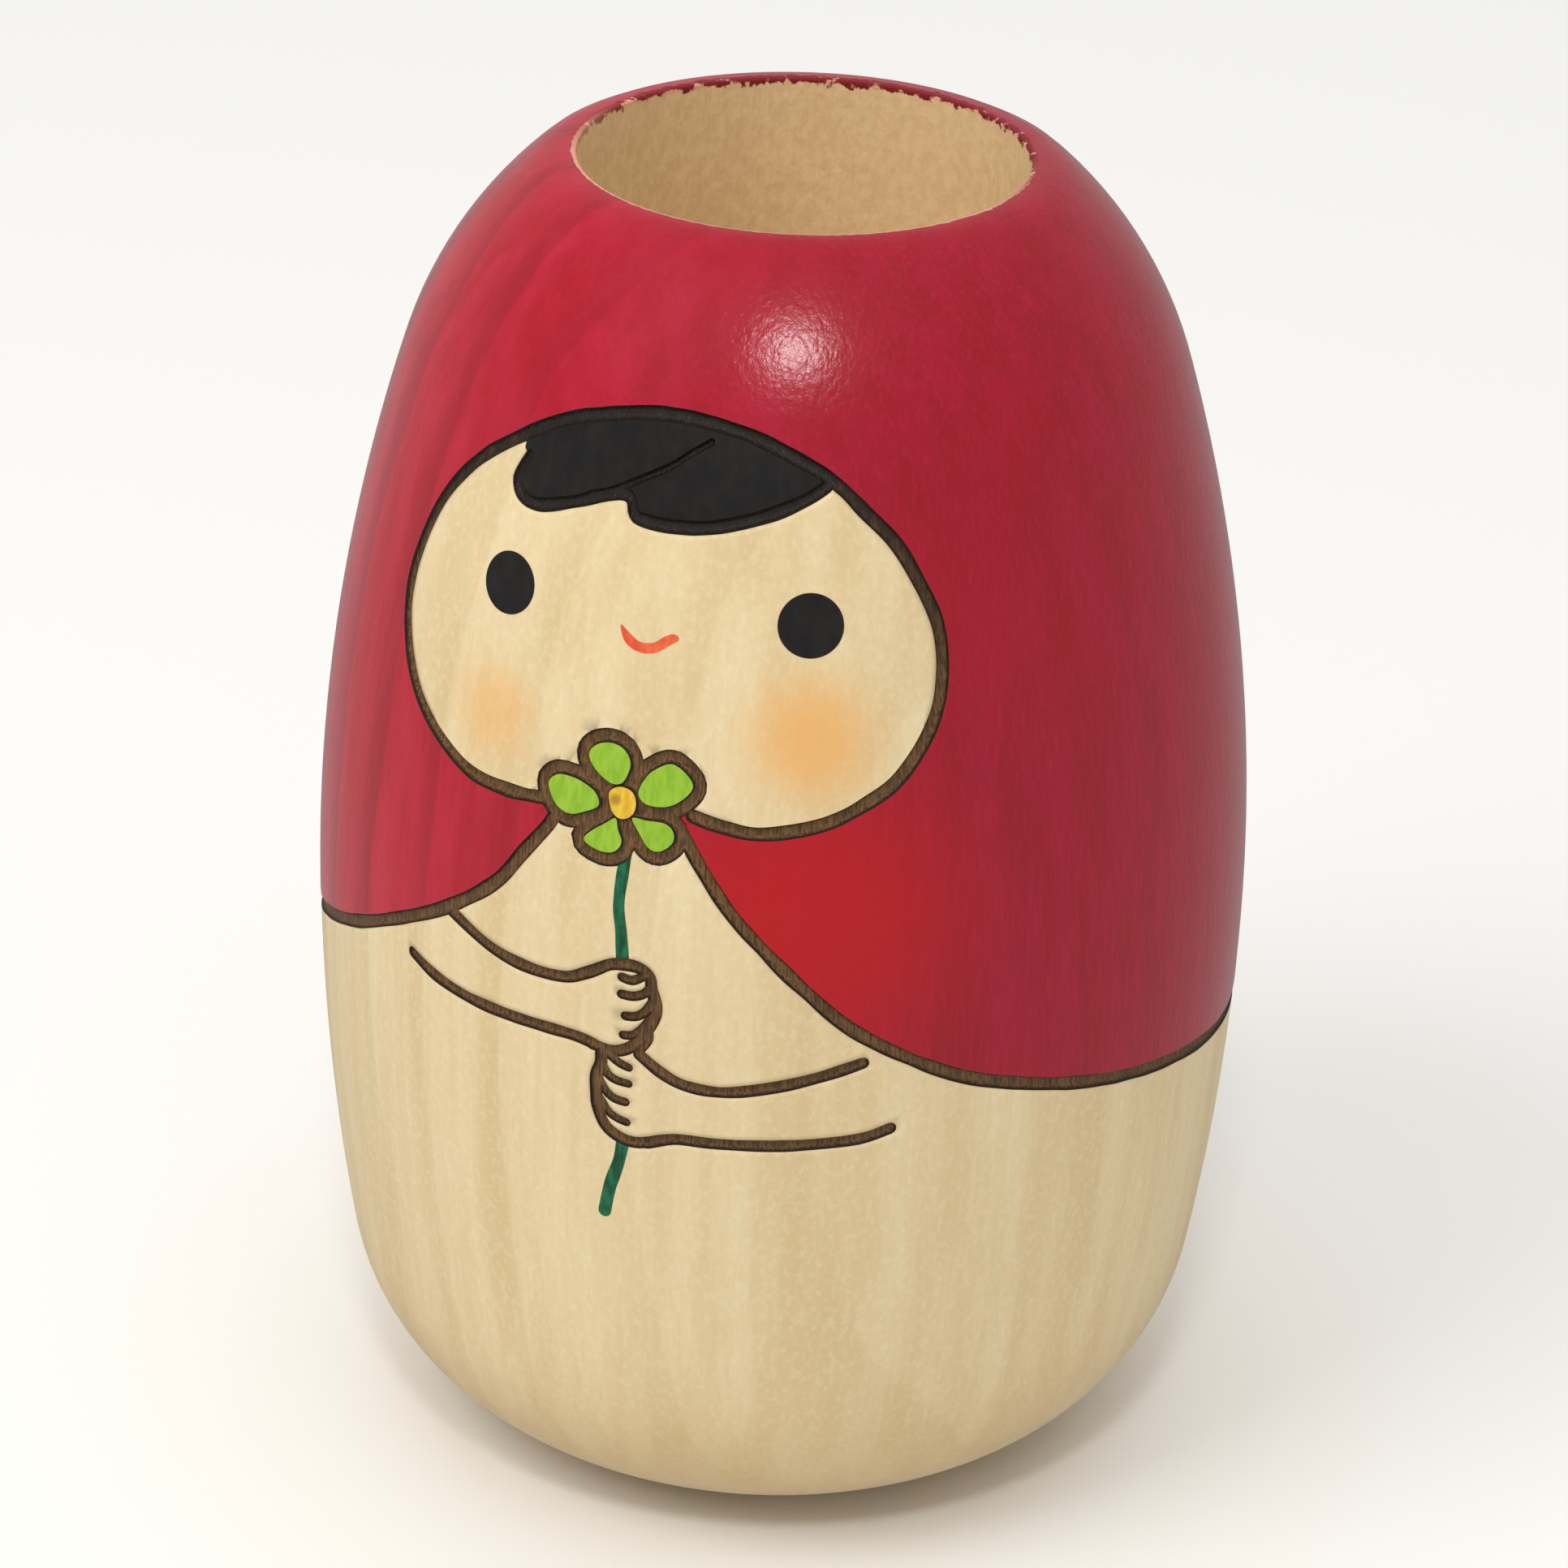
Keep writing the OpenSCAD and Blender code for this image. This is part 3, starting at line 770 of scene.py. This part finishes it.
coatLift = {    # how far each coat stands proud of the wood
    "hood_coat": 0.035, "hair_coat": 0.05, "hair_line": 0.02, "eye_left": 0.07, "eye_right": 0.07,
    "mouth": 0.04, "cheek_left": 0.012, "cheek_right": 0.012, "flower_centre": 0.05,
    "stem_upper": 0.03, "stem_lower": 0.03, "petal": 0.05, "line": 0.02,
}


def liftOf(name):
    if name in coatLift:
        return coatLift[name]
    return coatLift["petal"] if name.startswith("petal") else coatLift["line"]


body = buildBody()
pieces = {}
for name in sorted(set(coats)):
    if name:
        pieces[name] = buildCoat(name + "_skin", coats == name, liftOf(name))
print("pieces:", len(pieces) + 1)


def hexColour(text):
    # sRGB hex to linear
    out = []
    for i in (0, 2, 4):
        c = int(text[i:i + 2], 16) / 255
        out.append(c / 12.92 if c <= 0.04045 else ((c + 0.055) / 1.055) ** 2.4)
    return (*out, 1.0)


def put(tree, kind, *values, out=None, **settings):
    # adds a node, sets its properties, links or fills its inputs in order, and gives back one output
    made = tree.nodes.new("ShaderNode" + kind)
    for key, value in settings.items():
        setattr(made, key, value)
    for socket, value in zip([s for s in made.inputs if s.enabled], values):
        if isinstance(value, bpy.types.NodeSocket):
            tree.links.new(value, socket)
        elif value is not None:    # None leaves an input as it is
            socket.default_value = value
    return made.outputs[out] if out else next((s for s in made.outputs if s.enabled), None)


eased = {"interpolation_type": "SMOOTHSTEP"}    # for a MapRange with soft ends
inColour = {"data_type": "RGBA"}                # for a Mix of two colours


def startMaterial(name):
    mat = bpy.data.materials.new(name)
    mat.use_nodes = True
    tree = mat.node_tree
    tree.nodes.clear()
    shader = put(tree, "BsdfPrincipled").node
    put(tree, "OutputMaterial", shader.outputs["BSDF"])
    inMm = put(tree, "VectorMath", put(tree, "TexCoord", out="Object"), 1 / mm, operation="SCALE")
    return mat, tree, shader, inMm


def grain(tree, inMm, wide, tall, detail=3.0, seed=(0, 0, 0)):
    # noise stretched up the block, for features so many millimetres wide and tall
    scaled = put(tree, "Mapping", inMm, seed, None, (1 / wide, 1 / wide, 1 / tall))
    return put(tree, "TexNoise", scaled, 1.0, detail, 0.55)


def yearRings(tree, inMm):
    # the log's growth rings, 6.5 mm apart: each darkens slowly, then stops short
    nearlyUpright = put(tree, "VectorMath", inMm, (1, 1, 0.06), operation="MULTIPLY")
    fromPith = put(tree, "VectorMath", nearlyUpright, (-58, 34, 0), operation="DISTANCE")
    waves = put(tree, "Math", grain(tree, inMm, 12.0, 40.0, 1.0, (9, 2, 0)), 5.0, operation="MULTIPLY")
    wavy = put(tree, "Math", fromPith, waves, operation="ADD")
    ring = put(tree, "Math", put(tree, "Math", wavy, 6.5, operation="DIVIDE"), operation="FRACT")
    darkens = put(tree, "MapRange", ring, 0.5, 0.93, **eased)
    stops = put(tree, "MapRange", ring, 1.0, 0.95, **eased)
    return put(tree, "Math", darkens, stops, operation="MULTIPLY")


def sprayedDye(tree, inMm, x, z, radius, strength):
    # how much dye lies here: full in the middle of the cheek, fading unevenly to its edge
    centre = onSurface(fromFront([(x, z)]), 0)[0] / mm
    away = put(tree, "VectorMath", inMm, tuple(centre), operation="DISTANCE")
    uneven = put(tree, "Math", grain(tree, inMm, 1.6, 2.4), 1.6, operation="MULTIPLY")
    strayed = put(tree, "Math", away, uneven, operation="ADD")
    mask = put(tree, "MapRange", strayed, radius, radius * 0.2, **eased)
    return put(tree, "Math", mask, strength, operation="MULTIPLY")


def waxedWood(name, cheek=None):
    # mizuki, a close-grained pale hardwood, turned, sanded and waxed: pale straw with faint upright grain
    mat, tree, shader, inMm = startMaterial(name)
    figure = put(tree, "MapRange", grain(tree, inMm, 3.0, 90.0), 0.3, 0.7, **eased)
    fibres = grain(tree, inMm, 0.35, 5.0, 4.0, (11, 5, 2))
    flecks = grain(tree, inMm, 0.45, 0.6, 3.0, (3, 9, 4))
    rings = put(tree, "Math", yearRings(tree, inMm), 0.22, operation="MULTIPLY")
    darkFibres = put(tree, "MapRange", fibres, 0.35, 0.7, 0.0, 0.22, **eased)
    paleFlecks = put(tree, "MapRange", flecks, 0.45, 0.7, 0.0, 0.24, **eased)
    place = put(tree, "SeparateXYZ", inMm).node.outputs
    paintedFootShade = put(tree, "MapRange", place["Z"], 20.0, 2.0, 0.0, 0.5, **eased)    # painted shade: darker towards the foot, where less light falls
    colour = put(tree, "Mix", figure, hexColour("DFC594"), hexColour("EAD5A8"), **inColour)
    tones = ((rings, "C9AB76"), (darkFibres, "D9BC86"), (paleFlecks, "F6E8C4"), (paintedFootShade, "C4A26A"))
    for amount, tone in tones:
        colour = put(tree, "Mix", amount, colour, hexColour(tone), **inColour)

    # bare, rougher wood down the well
    level = put(tree, "VectorMath", inMm, (1, 1, 0), operation="MULTIPLY")
    fromAxis = put(tree, "VectorMath", level, operation="LENGTH")
    inWell = put(tree, "MapRange", fromAxis, wellR + 0.2, wellR + 0.05, **eased)
    blotches = put(tree, "MapRange", grain(tree, inMm, 0.7, 1.0, 4.0, (2, 2, 7)), 0.3, 0.7, **eased)
    bare = put(tree, "Mix", blotches, hexColour("E2C090"), hexColour("ECCF9D"), **inColour)
    colour = put(tree, "Mix", inWell, colour, bare, **inColour)

    # a blush of red on the rim, and at the back the red that ran over the lip and tore with the chips
    nearWell = put(tree, "MapRange", fromAxis, wellR + 2.5, wellR + 1.5, **eased)
    onTop = put(tree, "MapRange", place["Z"], bodyH - 0.4, bodyH - 0.1, **eased)
    rim = put(tree, "Math", onTop, nearWell, operation="MULTIPLY")
    blush = put(tree, "Math", rim, 0.7, operation="MULTIPLY")
    torn = put(tree, "Math", grain(tree, inMm, 0.8, 0.8, 3.0, (0, 6, 2)), 2.2, operation="MULTIPLY")
    ragged = put(tree, "Math", place["Z"], torn, operation="SUBTRACT")
    runOver = put(tree, "MapRange", ragged, bodyH - 1.5, bodyH - 1.3, **eased)
    atBack = put(tree, "MapRange", place["Y"], -8.0, 6.0, **eased)
    lip = put(tree, "Math", runOver, atBack, operation="MULTIPLY")
    lip = put(tree, "Math", lip, nearWell, operation="MULTIPLY")
    for amount, tone in ((blush, "D88474"), (lip, "7E1420")):
        colour = put(tree, "Mix", amount, colour, hexColour(tone), **inColour)
    if cheek:
        dye = sprayedDye(tree, inMm, *cheeks[cheek])
        colour = put(tree, "Mix", dye, colour, hexColour("EFAF5C"), **inColour)

    ridges = put(tree, "Math", fibres, 0.6, operation="MULTIPLY")
    pits = put(tree, "Math", flecks, 0.4, operation="MULTIPLY")
    height = put(tree, "Math", ridges, pits, operation="ADD")
    deeperInWell = put(tree, "MapRange", inWell, 0.0, 1.0, 1.0, 6.0)
    height = put(tree, "Math", height, deeperInWell, operation="MULTIPLY")
    tree.links.new(colour, shader.inputs["Base Color"])
    tree.links.new(put(tree, "Mix", inWell, 0.42, 0.85), shader.inputs["Roughness"])
    tree.links.new(put(tree, "Bump", 1.0, 0.02 * mm, None, height), shader.inputs["Normal"])
    shader.inputs["IOR"].default_value = 1.5
    return mat


def dyedWood():
    # red aniline dye under clear lacquer: wet-looking crimson with darker upright grain
    mat, tree, shader, inMm = startMaterial("red_dye_lacquered")
    streaks = put(tree, "MapRange", grain(tree, inMm, 2.2, 26.0, 4.0, (1, 4, 0)), 0.3, 0.7, **eased)
    fibres = grain(tree, inMm, 0.3, 3.0, 4.0, (6, 1, 3))
    clouds = grain(tree, inMm, 9.0, 14.0, 2.0, (0, 8, 8))
    sideways = put(tree, "SeparateXYZ", inMm, out="X")
    thin = put(tree, "MapRange", sideways, 14.0, -24.0, **eased)    # the coat is thinner on the doll's right
    deep = put(tree, "Mix", streaks, hexColour("98041E"), hexColour("A2062A"), **inColour)
    pale = put(tree, "Mix", streaks, hexColour("B00C22"), hexColour("C01E36"), **inColour)
    colour = put(tree, "Mix", thin, deep, pale, **inColour)
    litFibres = put(tree, "MapRange", fibres, 0.45, 0.72, 0.0, 0.25, **eased)
    cloudy = put(tree, "MapRange", clouds, 0.4, 0.7, 0.0, 0.3, **eased)
    showing = put(tree, "Math", thin, 0.42, operation="MULTIPLY")
    rings = put(tree, "Math", yearRings(tree, inMm), showing, operation="MULTIPLY")
    fromBib = put(tree, "VectorMath", inMm, (11.0, -29.0, 52.0), operation="DISTANCE")
    paintedNoSheenRed = put(tree, "MapRange", fromBib, 15.0, 3.0, 0.0, 0.85, **eased)    # painted absence of sheen: purer, deeper red beside the flower, where the lacquer reflects little light
    for amount, tone in ((litFibres, "C42038"), (cloudy, "A8041A"), (rings, "84041A"), (paintedNoSheenRed, "BC0008")):
        colour = put(tree, "Mix", amount, colour, hexColour(tone), **inColour)
    orangePeel = grain(tree, inMm, 0.45, 0.8, 3.0, (5, 5, 5))
    telegraphed = put(tree, "Math", fibres, 0.5, operation="MULTIPLY")
    height = put(tree, "Math", orangePeel, telegraphed, operation="ADD")
    tree.links.new(colour, shader.inputs["Base Color"])
    tree.links.new(put(tree, "Bump", 1.0, 0.03 * mm, None, height), shader.inputs["Normal"])
    shader.inputs["Roughness"].default_value = 0.22
    shader.inputs["IOR"].default_value = 1.5
    return mat


def blackLacquer():
    # black lacquer brushed over wood: deep brown black, half gloss, a little brush texture
    mat, tree, shader, inMm = startMaterial("black_lacquer")
    brush = grain(tree, inMm, 0.9, 2.0)
    worked = put(tree, "MapRange", brush, 0.35, 0.7, **eased)
    colour = put(tree, "Mix", worked, hexColour("0D0A09"), hexColour("1A1512"), **inColour)
    tree.links.new(colour, shader.inputs["Base Color"])
    tree.links.new(put(tree, "Bump", 1.0, 0.012 * mm, None, brush), shader.inputs["Normal"])
    shader.inputs["Roughness"].default_value = 0.32
    return mat


def charred(name, dark, light, rough=0.55, ridges=0.12):
    # wood burnt by a hot tip: matt brown with upright fibre ridges, blacker towards both edges, partly where
    # the tip's edges ran and partly painted shade of the groove walls
    mat, tree, shader, inMm = startMaterial(name)
    fibres = grain(tree, inMm, 0.14, 1.6, 3.0, (4, 0, 1))
    patches = grain(tree, inMm, 1.2, 2.5, 2.0)
    scorched = put(tree, "MapRange", fibres, 0.4, 0.62, 0.0, 0.75, **eased)
    sooty = put(tree, "MapRange", patches, 0.45, 0.75, 0.0, 0.35, **eased)
    fromMiddle = put(tree, "Attribute", attribute_name="across", out="Fac")
    stray = put(tree, "Math", fibres, 0.3, operation="MULTIPLY")
    toEdge = put(tree, "Math", fromMiddle, stray, operation="ADD")
    # partly painted shade: near-black at the edges of each burnt line stands for the shaded groove walls as
    # well as the tip's harder burn there
    edge = put(tree, "MapRange", toEdge, 0.72, 1.05, **eased)
    atBrow = put(tree, "MapRange", put(tree, "SeparateXYZ", inMm, out="Z"), 63.0, 78.0, **eased)
    uneven = put(tree, "MapRange", patches, 0.2, 0.55, 0.4, 0.85, **eased)
    hotter = put(tree, "Math", atBrow, uneven, operation="MULTIPLY")    # burnt harder over the brow
    colour = hexColour(light)
    for amount, tone in ((scorched, dark), (sooty, dark), (edge, "22140A"), (hotter, "201710")):
        colour = put(tree, "Mix", amount, colour, hexColour(tone), **inColour)
    tree.links.new(colour, shader.inputs["Base Color"])
    tree.links.new(put(tree, "Bump", 1.0, ridges * mm, None, fibres), shader.inputs["Normal"])
    shader.inputs["Roughness"].default_value = rough
    return mat


def brushedPaint(name, low, high, spot=None):
    # thin water paint laid by brush: slightly streaked, satin
    mat, tree, shader, inMm = startMaterial(name)
    hairs = grain(tree, inMm, 0.4, 1.4, 3.0, (7, 7, 1))
    streaks = put(tree, "MapRange", hairs, 0.32, 0.68, **eased)
    colour = put(tree, "Mix", streaks, hexColour(low), hexColour(high), **inColour)
    if spot:    # where the paint is darker in one place
        centre = onSurface(fromFront([spot]), 0)[0] / mm
        away = put(tree, "VectorMath", inMm, tuple(centre), operation="DISTANCE")
        stain = put(tree, "MapRange", away, 0.55, 0.15, 0.0, 0.7, **eased)
        colour = put(tree, "Mix", stain, colour, hexColour("9A6A1C"), **inColour)
    tree.links.new(colour, shader.inputs["Base Color"])
    tree.links.new(put(tree, "Bump", 1.0, 0.02 * mm, None, hairs), shader.inputs["Normal"])
    shader.inputs["Roughness"].default_value = 0.45
    return mat


finishes = {
    "wood": waxedWood("mizuki_waxed"),
    "red": dyedWood(),
    "black": blackLacquer(),
    "char": charred("burnt_line_brown", "40290F", "7E5A32"),
    "charBlack": charred("burnt_line_blackened", "14100D", "3A322C", 0.32, 0.14),
    "leaf": brushedPaint("leaf_green_paint", "86B41E", "9CC430"),
    "yellow": brushedPaint("yellow_paint", "D9A514", "EFC83A", spot=(-1.45, 59.0)),
    "stem": brushedPaint("stem_green_dye", "00422A", "0A7044"),
    "mouth": brushedPaint("orange_red_paint", "E04E28", "F06A40"),
    "cheek_left": waxedWood("mizuki_waxed_left_cheek", "cheek_left"),
    "cheek_right": waxedWood("mizuki_waxed_right_cheek", "cheek_right"),
}
print("materials:", len(finishes))


def finishOf(name):
    if name in ("cheek_left", "cheek_right"):
        return finishes[name], "cheek_dye"
    if name == "hood_coat":
        return finishes["red"], "red_dye"
    if name in ("hair_coat", "eye_left", "eye_right"):
        return finishes["black"], "black_lacquer"
    if name == "hair_line":
        return finishes["charBlack"], "charred_wood"
    if name.startswith("petal"):
        return finishes["leaf"], "leaf_green_paint"
    if name == "flower_centre":
        return finishes["yellow"], "yellow_paint"
    if name.startswith("stem"):
        return finishes["stem"], "dark_green_dye"
    if name == "mouth":
        return finishes["mouth"], "orange_paint"
    return finishes["char"], "charred_wood"


body.data.materials.append(finishes["wood"])
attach(body, "root")
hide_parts("turned_body")
for name, piece in pieces.items():
    material, slot = finishOf(name)
    piece.data.materials.append(material)
    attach(piece, "root")
    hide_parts(name)

studio = {
    "floor": "F6F5F2",
    "floorHalf": 3.0,    # metres
    "world": 0.41,
    "lights": [
        # name, place, width and height in metres, watts, seen in reflections
        ("keyBox", (-0.42, -0.5, 0.75), (0.5, 0.5), 3.0, False),
        ("overhead", (0, 0, 1.3), (2.0, 2.0), 10.5, False),
        ("backBox", (0, 1.0, 0.2), (1.8, 0.36), 2.2, False),
        ("spark", (0.12, -0.42, 0.62), (0.08, 0.08), 0.9, True),
    ],
}


def makeFloor():
    mesh = bpy.data.meshes.new("floor")
    half = studio["floorHalf"]
    corners = [(-half, -half, 0), (half, -half, 0), (half, half, 0), (-half, half, 0)]
    mesh.from_pydata(corners, [], [(0, 1, 2, 3)])
    obj = bpy.data.objects.new("floor", mesh)
    bpy.context.scene.collection.objects.link(obj)
    mat, _, shader, _ = startMaterial("pale_paper_floor")
    shader.inputs["Base Color"].default_value = hexColour(studio["floor"])
    shader.inputs["Roughness"].default_value = 0.7
    mesh.materials.append(mat)
    obj.visible_glossy = False    # a white floor mirrored in the red would wash it out


def makeLights():
    for name, place, size, watts, mirrored in studio["lights"]:
        data = bpy.data.lights.new(name, "AREA")
        data.shape = "RECTANGLE"
        data.size, data.size_y = size
        data.energy = watts
        obj = bpy.data.objects.new(name, data)
        obj.location = place
        obj.visible_glossy = mirrored
        aim = Vector((0, 0, bodyH * mm / 2)) - Vector(place)
        obj.rotation_euler = aim.to_track_quat("-Z", "Y").to_euler()
        bpy.context.scene.collection.objects.link(obj)
    world = bpy.data.worlds.new("paleRoom")
    world.use_nodes = True
    world.node_tree.nodes["Background"].inputs["Color"].default_value = (1, 1, 1, 1)
    world.node_tree.nodes["Background"].inputs["Strength"].default_value = studio["world"]
    bpy.context.scene.world = world


shot = {
    "azimuth": 17.5,      # degrees round from the doll's front, towards its left hand
    "elevation": 27.0,
    "distance": 0.35,     # metres
    "aimZ": 0.045,
    "lens": 116.1,
    "roll": 1.82,         # the doll leans a little to the right in the frame
    "shiftUp": 0.008,
}


def makeCamera():
    az, el, roll = (math.radians(shot[k]) for k in ("azimuth", "elevation", "roll"))
    back = Vector((math.sin(az) * math.cos(el), -math.cos(az) * math.cos(el), math.sin(el)))
    level = Vector((math.cos(az), math.sin(az), 0))
    upward = back.cross(level)
    right = level * math.cos(roll) + upward * math.sin(roll)
    top = upward * math.cos(roll) - level * math.sin(roll)
    data = bpy.data.cameras.new("camera")
    data.sensor_width = 36
    data.lens = shot["lens"]
    data.shift_y = shot["shiftUp"]
    data.clip_start = 0.01
    camera = bpy.data.objects.new("camera", data)
    camera.matrix_world = Matrix.Translation(Vector((0, 0, shot["aimZ"])) + back * shot["distance"]) @ Matrix(
        (right, top, back)).transposed().to_4x4()
    bpy.context.scene.collection.objects.link(camera)
    bpy.context.scene.camera = camera


makeFloor()
makeLights()
makeCamera()
bpy.context.scene.view_settings.view_transform = "Standard"
